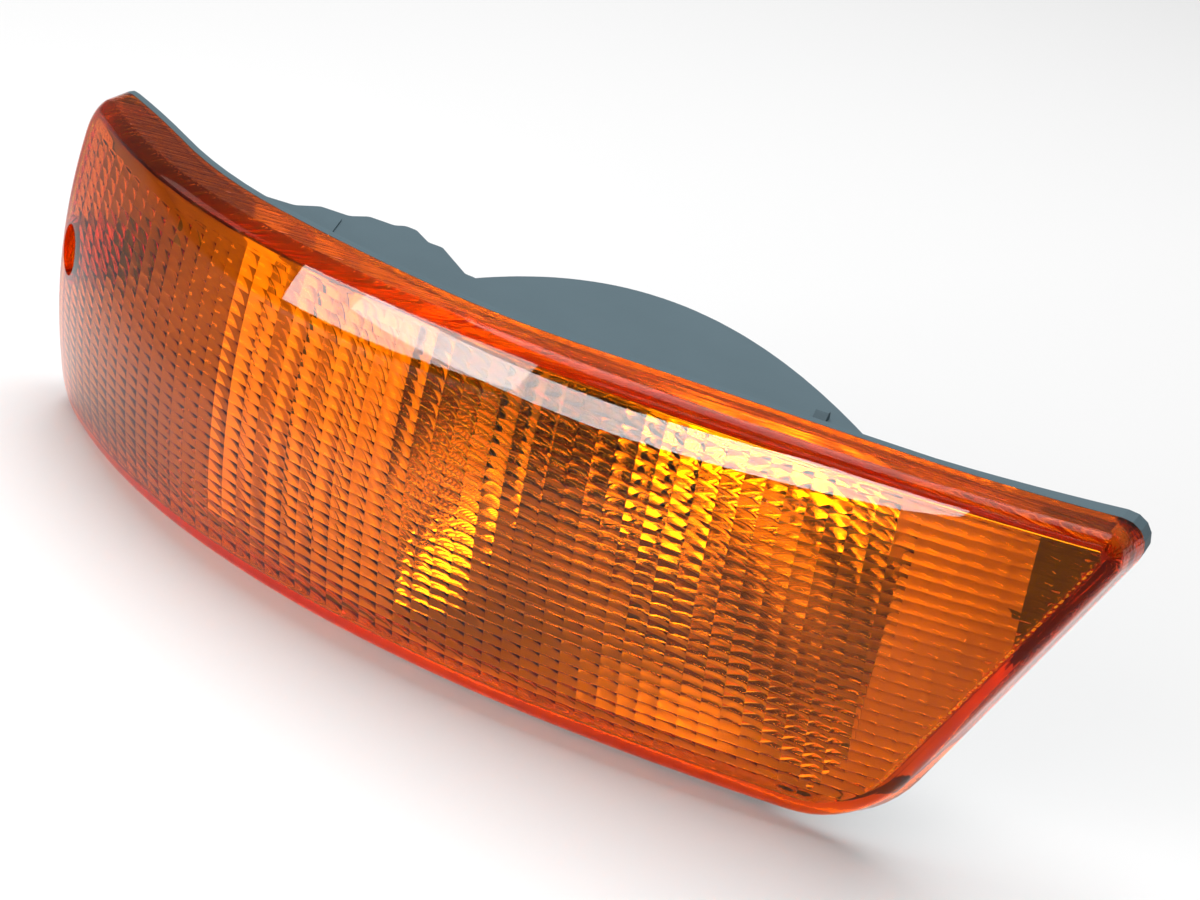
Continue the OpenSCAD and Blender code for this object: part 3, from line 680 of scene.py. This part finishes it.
def to_bowl(p):
    """From the lens's axes to the bowl's: across, down, and back along the bowl's axis."""
    c, s = math.cos(BOWL_TURN), math.sin(BOWL_TURN)
    x, y = p[..., 0] - BOWL_X, p[..., 1] - BOWL_Y
    return c * x + s * y, -p[..., 2], c * y - s * x


def bowl_back(radius):
    """Where the metal of the parabolic bowl lies along its axis."""
    return -SHELL - radius * radius / (4 * FOCUS)


def bowl_ring(radius, back, steps):
    a = np.linspace(0, 2 * np.pi, steps, endpoint=False)
    return from_bowl(radius * np.cos(a), radius * np.sin(a), np.full(steps, back))


def prism_of(plan, low_z, high_z, name):
    """An upright tool whose outline is plan, points of x and y."""
    tool = Moulding()
    low = tool.lay([(x, y, low_z) for x, y in plan])
    high = tool.lay([(x, y, high_z) for x, y in plan])
    tool.wall(low, high)
    tool.plug(low, high)
    return moulded(tool, name)


# The air in front of the metal: the bowl and the fluted chamber, cut off level above and below,
# and the neck behind them.
bowl = Moulding()
rings = []
for k in range(1, BOWL_RINGS + 1):
    radius = BOWL_REACH * k / BOWL_RINGS
    rings.append(bowl.lay(bowl_ring(radius, bowl_back(radius), BOWL_SIDES)))
for one, two in zip(rings, rings[1:]):
    bowl.wall(one, two)
bowl.plug(rings[-1], rings[0])
air = moulded(bowl, "air")
flute_x = np.arange(FLUTES[0][0], FLUTES[-1][0] + FLUTE_STEP, FLUTE_STEP)
flute_y = np.interp(flute_x, [x for x, y in FLUTES], [y for x, y in FLUTES])
plan_x = np.arange(PLAN_FROM, PLAN_TO, PLAN_STEP)


def coated_flutes(x):
    """The flutes' line on the metal's side of the wall, as a ball of the wall's thickness rolls it."""
    aside = flute_x - x
    near = np.abs(aside) < SHELL
    return float(np.min(flute_y[near] - np.sqrt(SHELL ** 2 - aside[near] ** 2)))


rolled = np.array([coated_flutes(x) for x in plan_x])
softened = [np.mean(rolled[max(0, k - 2):k + 3]) for k in range(len(rolled))]
flutes_plan = [(plan_x[0], AHEAD)] + list(zip(plan_x, softened)) + [(plan_x[-1], AHEAD)]
combine(air, prism_of(flutes_plan, BOWL_BOTTOM - 1, BOWL_TOP + 1, "flutes"), "UNION")
slab_plan = [(PLAN_X[0], -ASIDE), (PLAN_X[-1], -ASIDE), (PLAN_X[-1], ASIDE), (PLAN_X[0], ASIDE)]
combine(air, prism_of(slab_plan, BOWL_BOTTOM, BOWL_TOP, "slab"), "INTERSECT")
neck = Moulding()
neck_rings = [neck.lay(bowl_ring(BOWL_HOLE, back, NECK_SIDES)) for back in (NECK_FRONT, NECK_BACK)]
neck.wall(*neck_rings)
neck.plug(*neck_rings)
combine(air, moulded(neck, "neck"), "UNION")
# The metal is the front of a block behind the flange, less that air.
land = Moulding()
front = face_grid(LAND_INSET, LENS_DEPTH)
front[..., 1] = rear_y(front[..., 0]) - LAND_GAP
land_points = land.lay(front)
land.cover(land_points)
behind = border(front)
behind[:, 1] = BEHIND
rear_ring = land.lay(behind)
land.wall(border(land_points), rear_ring)
land.fill([rear_ring[::-1].tolist()])
reflector = moulded(land, "reflector_coating")
combine(reflector, air, "DIFFERENCE")


def off_bowl(p):
    """How far points lie behind the bowl's form, and their distance from its axis."""
    across, down, back = to_bowl(p)
    radius = np.hypot(across, down)
    return back - bowl_back(radius), radius


def is_land(p):
    return np.abs(p[:, 1] - rear_y(p[:, 0])).max() < 2 * LAND_GAP


def is_bare(p):
    """True on the block's own back and in the bulb's hole, and where the metal is masked off."""
    off, radius = off_bowl(p)
    in_hole = radius.max() < BOWL_HOLE + TOUCH and off.max() > ON_THE_BOWL
    return p[:, 1].max() > BEHIND - 1 or (p[:, 0].max() > BARE_FROM and is_land(p)) or in_hole


work = bmesh.new()
work.from_mesh(reflector.data)
bare = [f for f in work.faces if is_bare(np.array([v.co[:] for v in f.verts]) / MM + SEAT)]
bmesh.ops.delete(work, geom=bare, context="FACES")
work.to_mesh(reflector.data)
work.free()
metal_mesh = reflector.data
metal_mesh.shade_smooth()
metal_mesh.set_sharp_from_angle(angle=SHARP_EDGE)
normals = np.array([c.vector[:] for c in metal_mesh.corner_normals])
BOWL, CHAMBER, LAND = 0, 1, 2
parts = []
for face in metal_mesh.polygons:
    p = np.array([metal_mesh.vertices[k].co[:] for k in face.vertices]) / MM + SEAT
    off, radius = off_bowl(p)
    if np.abs(off).max() < ON_THE_BOWL and radius.max() < BOWL_REACH - TOUCH:
        across, down, back = to_bowl(p)
        slope = from_bowl(-across / (2 * FOCUS), -down / (2 * FOCUS), -np.ones_like(across))
        outward = unit(slope - (BOWL_X, BOWL_Y, 0))
        if (outward @ np.array(face.normal[:])).mean() < 0:
            outward = -outward
        normals[list(face.loop_indices)] = outward
        parts.append(BOWL)
    else:
        parts.append(LAND if is_land(p) else CHAMBER)
metal_mesh.normals_split_custom_set(normals.tolist())


def vacuum_metal(name, dull, bright, gloss, peel):
    """Evaporated aluminium: faint clouds where the film is thinner, over the plastic's orange peel."""
    metal = new_finish(name)
    film = noise_of(metal, scale=70, detail=2.0)
    two_toned(metal, film, dull, bright)
    haze = add_node(metal, "MapRange", {"Value": film, "To Min": gloss[0], "To Max": gloss[1]})
    set_sockets(metal, shader_of(metal), {"Metallic": 1.0, "Roughness": haze.outputs["Result"]})
    relief(metal, noise_of(metal, scale=900, detail=1.0), strength=peel, depth=0.00003)
    return metal


mirror = vacuum_metal("vacuum_metal", (0.84, 0.84, 0.84), (0.92, 0.92, 0.92),
                      gloss=(0.03, 0.09), peel=0.06)
satin = vacuum_metal("vacuum_metal_satin", (0.76, 0.76, 0.76), (0.84, 0.84, 0.84),
                     gloss=(0.5, 0.62), peel=0.3)
# Painted shade: the land's copy of the same coating is about half as bright as the bowl's.
land_metal_painted_shade = vacuum_metal("vacuum_metal_land_painted_shade", (0.38, 0.35, 0.34), (0.48, 0.45, 0.44),
                      gloss=(0.44, 0.56), peel=0.3)
metal_mesh.materials.clear()
for metal in (mirror, satin, land_metal_painted_shade):
    metal_mesh.materials.append(metal)
for face, part in zip(metal_mesh.polygons, parts):
    face.material_index = part
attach(reflector, "lamp")

# Vent cap.
# A small cap of soft black rubber pushed over the housing's vent nipple; its labyrinth lets the
# lamp breathe. Compression moulded, with the dull bloom that such rubber takes on.


def coat_of(name, one, two, rough, metal, patch):
    """A finish whose colour drifts between two tones and whose gloss drifts with it."""
    coat = new_finish(name)
    drift = noise_of(coat, patch, detail=4.0)
    two_toned(coat, drift, one, two)
    gloss = add_node(coat, "MapRange", {"Value": drift, "To Min": rough[0], "To Max": rough[1]})
    set_sockets(coat, shader_of(coat), {"Metallic": metal, "Roughness": gloss.outputs["Result"]})
    return coat


def grained(coat, scale, depth, stretch=None):
    """Adds a fine relief to a finish, drawn out where stretch makes one number smaller."""
    relief(coat, noise_of(coat, scale, detail=5.0, stretch=stretch), strength=0.6, depth=depth)
    return coat


cap_rubber = coat_of("vent_rubber", (0.018, 0.018, 0.02), (0.04, 0.04, 0.042),
                     rough=(0.55, 0.8), metal=0.0, patch=260)
dress("vent_cap", grained(cap_rubber, scale=2200, depth=0.00006))

# Bulb holder.
# The twist-lock socket with its connector shroud, one moulding of black glass-filled polyamide;
# three lugs turn under the housing's neck to lock it. The fibres show as a fine drawn mottle.
holder_black = coat_of("holder_polyamide", (0.02, 0.021, 0.024), (0.05, 0.052, 0.056),
                       rough=(0.32, 0.55), metal=0.0, patch=420)
dress("bulb_holder", grained(holder_black, scale=1500, depth=0.00004, stretch=(1, 1, 0.25)))

# Holder seal.
# A moulded ring of black rubber, slightly shiny, squeezed between the holder's flange and the
# end of the neck.
seal_rubber = coat_of("seal_rubber", (0.022, 0.022, 0.022), (0.035, 0.034, 0.032),
                      rough=(0.45, 0.65), metal=0.0, patch=500)
dress("holder_seal", grained(seal_rubber, scale=2600, depth=0.00003))

# Bulb glass.
# The blown clear envelope, necked in at the cap and cemented there; faintly wavy from the
# blowing.


def glassy(coat):
    """Turns a finish into clear glass."""
    set_sockets(coat, shader_of(coat), {"Transmission Weight": 1.0, "IOR": 1.52})
    return coat


blown = glassy(coat_of("blown_glass", (1, 1, 1), (0.96, 0.98, 0.985),
                       rough=(0.0, 0.02), metal=0.0, patch=120))
dress("bulb_glass", grained(blown, scale=90, depth=0.00002))

# Bulb stem.
# The pressed glass pinch inside the envelope that carries the lead wires through, melted and
# nipped flat while soft.
pinch = glassy(coat_of("pinched_glass", (0.95, 0.97, 0.96), (0.86, 0.9, 0.88),
                       rough=(0.02, 0.12), metal=0.0, patch=300))
dress("bulb_stem", grained(pinch, scale=420, depth=0.00008))

# Bulb cap.
# The drawn brass shell of the bayonet bulb, cemented to the glass; drawing lines run along it,
# and the brass has tarnished a little.
shell_brass = coat_of("drawn_brass", (0.66, 0.46, 0.17), (0.74, 0.56, 0.27),
                      rough=(0.22, 0.4), metal=1.0, patch=300)
dress("bulb_cap", grained(shell_brass, scale=1800, depth=0.00002, stretch=(1, 1, 0.08)))

# Bulb pins.
# Two brass pins pressed through the cap's wall and swaged, so that they stand proud on each
# side and lock the bulb in its holder.
pin_brass = coat_of("pin_brass", (0.7, 0.5, 0.2), (0.6, 0.42, 0.17),
                    rough=(0.18, 0.35), metal=1.0, patch=600)
dress("bulb_pins", grained(pin_brass, scale=3000, depth=0.00002))

# Bulb insulator.
# Black glass cast into the bottom of the cap, holding the contact away from the shell. It sets
# with a glossy, slightly rippled skin.
black_glass = coat_of("cast_black_glass", (0.006, 0.006, 0.008), (0.02, 0.018, 0.022),
                      rough=(0.08, 0.22), metal=0.0, patch=380)
dress("bulb_insulator", grained(black_glass, scale=700, depth=0.00005))

# Bulb contact.
# A dome of soft solder that closes the centre lead, dull grey with a slightly pitted skin,
# melted on once the cap is cemented.
solder = coat_of("soft_solder", (0.5, 0.5, 0.5), (0.66, 0.66, 0.65),
                 rough=(0.3, 0.55), metal=1.0, patch=700)
dress("bulb_contact", grained(solder, scale=1600, depth=0.00006))

# Filament.
# Coiled tungsten wire, dark grey after drawing and baking, held between the ends of its two
# lead wires.
tungsten = coat_of("coiled_tungsten", (0.3, 0.3, 0.31), (0.42, 0.41, 0.4),
                   rough=(0.3, 0.5), metal=1.0, patch=900)
dress("filament", grained(tungsten, scale=6000, depth=0.00001))

# Filament supports.
# Nickel-plated steel lead wires, cut and bent by the stem machine and sealed in the pinch;
# they keep a soft shine.
lead_wire = coat_of("lead_wire", (0.55, 0.54, 0.52), (0.68, 0.67, 0.64),
                    rough=(0.2, 0.38), metal=1.0, patch=800)
dress("filament_supports", grained(lead_wire, scale=4000, depth=0.00001, stretch=(1, 1, 0.1)))

# Feed terminal.
# A blade stamped from tinned brass strip, pushed into the holder so that it stands in the
# shroud. Fine rolling marks run along it.
feed_tin = coat_of("tinned_brass_feed", (0.62, 0.61, 0.57), (0.74, 0.73, 0.7),
                   rough=(0.25, 0.45), metal=1.0, patch=350)
dress("feed_terminal", grained(feed_tin, scale=1400, depth=0.00002, stretch=(1, 0.15, 0.15)))

# Earth terminal.
# The second stamped blade of tinned brass; its leaf runs forward to bear on the bulb's cap.
# Its tin is slightly duller than the first one's.
earth_tin = coat_of("tinned_brass_earth", (0.6, 0.58, 0.53), (0.73, 0.72, 0.69),
                    rough=(0.25, 0.48), metal=1.0, patch=330)
dress("earth_terminal", grained(earth_tin, scale=1300, depth=0.00002, stretch=(1, 0.15, 0.15)))

# Contact plunger.
# The turned brass button that the spring holds against the bulb's solder contact. Fine marks
# from the tool show on it.
button_brass = coat_of("turned_brass", (0.72, 0.52, 0.22), (0.64, 0.45, 0.18),
                       rough=(0.16, 0.3), metal=1.0, patch=500)
dress("contact_plunger", grained(button_brass, scale=2500, depth=0.00002, stretch=(0.2, 0.2, 1)))

# Contact spring.
# A coil of plated steel wire behind the plunger, seated in the holder's socket. The plating
# keeps it fairly bright, with a fine mottle.
spring_wire = coat_of("spring_wire", (0.56, 0.57, 0.58), (0.7, 0.7, 0.69),
                      rough=(0.18, 0.35), metal=1.0, patch=700)
dress("contact_spring", grained(spring_wire, scale=3500, depth=0.00001))

# Floor, world and lamps.
# A pale sheet under and behind the lamp, with painted shade turning it grey in front and to the left,
# out of the picture; soft panels light it, and a narrow one draws the streak along the top of the face.
FLOOR_Z, FLOOR_HALF = -0.0411, 4
LEFT_SLANT, LEFT_GREY, LEFT_PALE = 1.48, -0.18, -0.05
FRONT_SLANT, FRONT_GREY, FRONT_PALE = -0.83, -0.36, -0.25
SHADE_GREY, PALE = 0.36, 0.8
floor_mesh = bpy.data.meshes.new("floor")
FLOOR_CORNERS = ((-1, -1), (1, -1), (1, 1), (-1, 1))
floor_mesh.from_pydata([(x * FLOOR_HALF, y * FLOOR_HALF, FLOOR_Z) for x, y in FLOOR_CORNERS],
                       [], [(0, 1, 2, 3)])
floor = bpy.data.objects.new("floor", floor_mesh)
scene.collection.objects.link(floor)
paper = new_finish("floor_paper_painted_shade")
place = add_node(paper, "SeparateXYZ", {"Vector": add_node(paper, "TexCoord").outputs["Object"]})


def paleness(slant, grey, pale):
    """From nought to one across a slanting line on the floor."""
    line = add_node(paper, "Math", {0: place.outputs["X"], 1: slant, 2: place.outputs["Y"]},
                    operation="MULTIPLY_ADD")
    blend = add_node(paper, "MapRange", {"Value": line.outputs["Value"], "From Min": grey, "From Max": pale},
                     interpolation_type="SMOOTHSTEP")
    return blend.outputs["Result"]


# Painted shade: past either slanting line the floor darkens from pale to grey, so that the face mirrors a
# darker floor there.
nearer = add_node(paper, "Math", {0: paleness(LEFT_SLANT, LEFT_GREY, LEFT_PALE),
                                  1: paleness(FRONT_SLANT, FRONT_GREY, FRONT_PALE)}, operation="MINIMUM")
shade = add_node(paper, "MapRange", {"Value": nearer.outputs["Value"], "To Min": SHADE_GREY, "To Max": PALE})
set_sockets(paper, shader_of(paper), {"Base Color": shade.outputs["Result"], "Roughness": 0.9,
                                      "Specular IOR Level": 0.2})
floor_mesh.materials.append(paper)
world = bpy.data.worlds.new("studio")
scene.world = world
world.use_nodes = True
sky = world.node_tree.nodes["Background"]
sky.inputs["Color"].default_value = (1, 1, 1, 1)
sky.inputs["Strength"].default_value = 0.12
LAMP_MIDDLE = Vector((0.11, -0.03, 0.0))


def panel(name, width, height, radiance, place):
    """A flat panel of light; radiance is its brightness as seen, and place its matrix."""
    data = bpy.data.lights.new(name, "AREA")
    data.shape = "RECTANGLE"
    data.size = width
    data.size_y = height
    data.energy = radiance * math.pi * width * height
    light = bpy.data.objects.new(name, data)
    scene.collection.objects.link(light)
    light.matrix_world = place
    return light


def softbox(name, azimuth, elevation, distance, size, radiance):
    """A panel that faces the lamp, from so far round from the front and up, in degrees."""
    a, e = math.radians(azimuth), math.radians(elevation)
    away = Vector((math.sin(a) * math.cos(e), -math.cos(a) * math.cos(e), math.sin(e)))
    facing = (-away).to_track_quat("-Z", "Y").to_matrix().to_4x4()
    panel(name, *size, radiance, Matrix.Translation(LAMP_MIDDLE + away * distance) @ facing)


def hung_between(one, two):
    """The length and the matrix of a narrow panel between two points, turned to face the lamp."""
    middle = (one + two) / 2
    along = (two - one).normalized()
    upward = (middle - LAMP_MIDDLE).cross(along).normalized()
    turn = Matrix((along, upward, along.cross(upward))).transposed().to_4x4()
    return (two - one).length, Matrix.Translation(middle) @ turn


softbox("overhead", azimuth=180, elevation=80, distance=1.2, size=(1.3, 1.3), radiance=3.9)
strip_length, strip_place = hung_between(Vector((-0.24, -0.29, 0.078)), Vector((0.2, -0.42, -0.028)))
strip = panel("strip", strip_length, height=0.04, radiance=10.0, place=strip_place)
strip.data.spread = math.radians(100)
softbox("key", azimuth=-48, elevation=6, distance=1.4, size=(0.75, 0.28), radiance=18.0)
softbox("upper_key", azimuth=-12, elevation=31, distance=1.5, size=(0.9, 0.5), radiance=1.7)
softbox("fill", azimuth=11, elevation=10, distance=1.6, size=(0.5, 0.3), radiance=2.3)
softbox("side", azimuth=-85, elevation=14, distance=1.5, size=(0.6, 0.4), radiance=0.9)

scene.view_settings.view_transform = "Standard"
